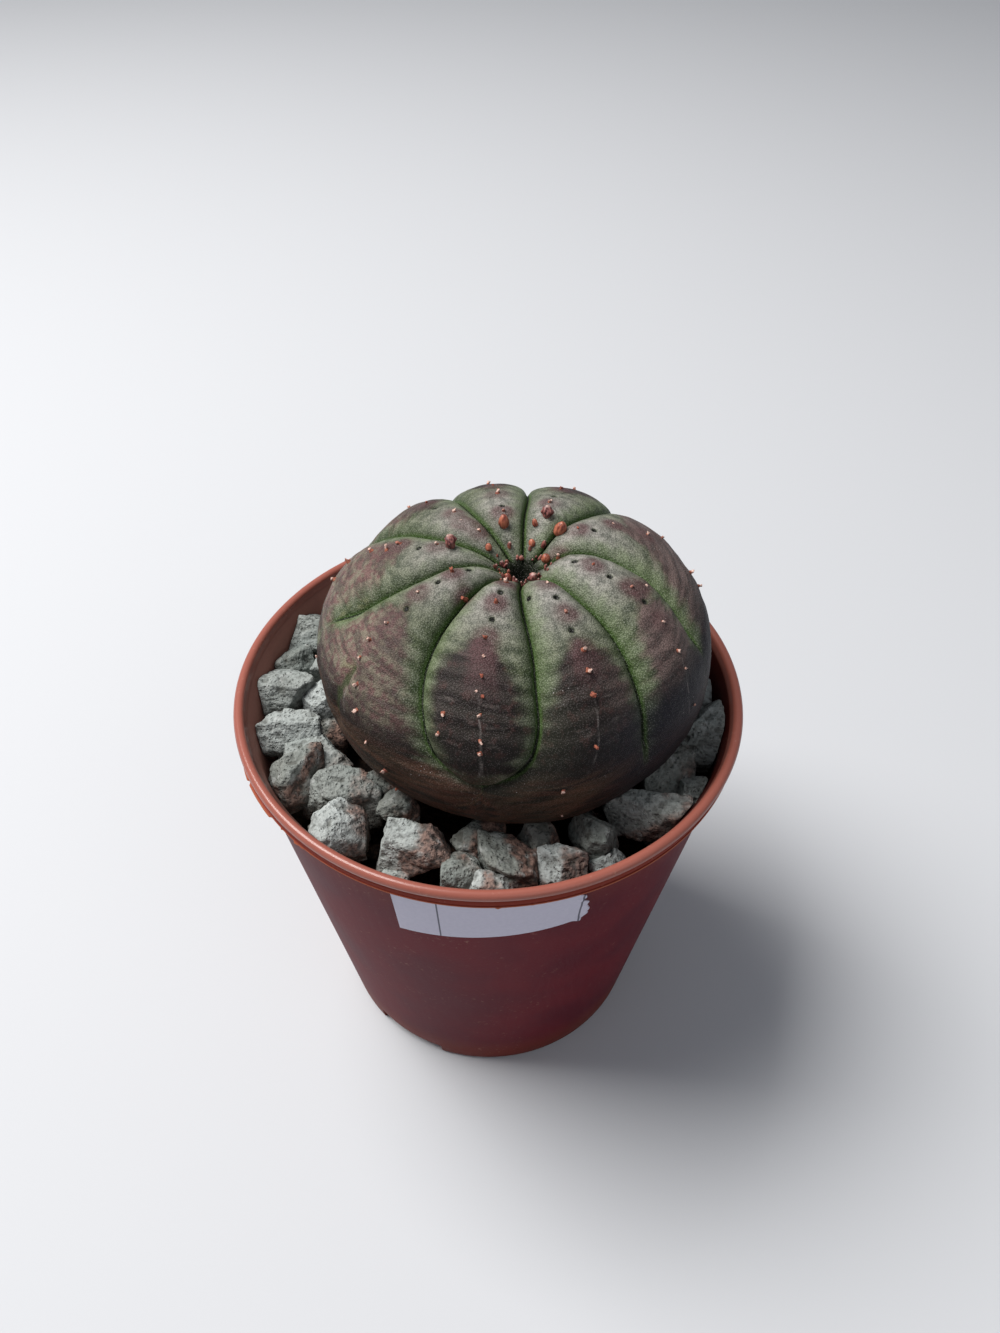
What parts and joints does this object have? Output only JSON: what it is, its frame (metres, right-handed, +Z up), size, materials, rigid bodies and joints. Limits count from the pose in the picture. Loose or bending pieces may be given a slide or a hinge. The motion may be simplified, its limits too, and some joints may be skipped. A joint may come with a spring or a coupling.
{
  "type": "potted baseball plant",
  "caption": "Potted baseball plant: a round ribbed succulent in a small tapered plastic nursery pot topped with pale gravel.",
  "frame": {"origin": "centre of the pot's foot, on the surface it stands on", "axes": "+Z up along the pot's axis; the viewer stands at -Y, on the label's side; +X to the viewer's right"},
  "size_m": [0.055, 0.055, 0.0678],
  "materials": {
    "terracotta_plastic": "satin, slightly scuffed, thin moulding flash on the lip",
    "dark_soil": "damp, crumbly potting soil",
    "pale_stone": "rough crushed rock, pitted, pale grey-green with brown patches",
    "plant_skin": "waxy skin, grey-green at the crown, purple-brown on the ribs, green grooves",
    "white_paper": "plain paper strip with two thin ruled lines, nothing printed on it"
  },
  "bodies": {
    "root": {"pot": "terracotta_plastic", "soil": "dark_soil", "gravel": "pale_stone", "plant": "plant_skin", "label": "white_paper"}
  },
  "joints": []
}
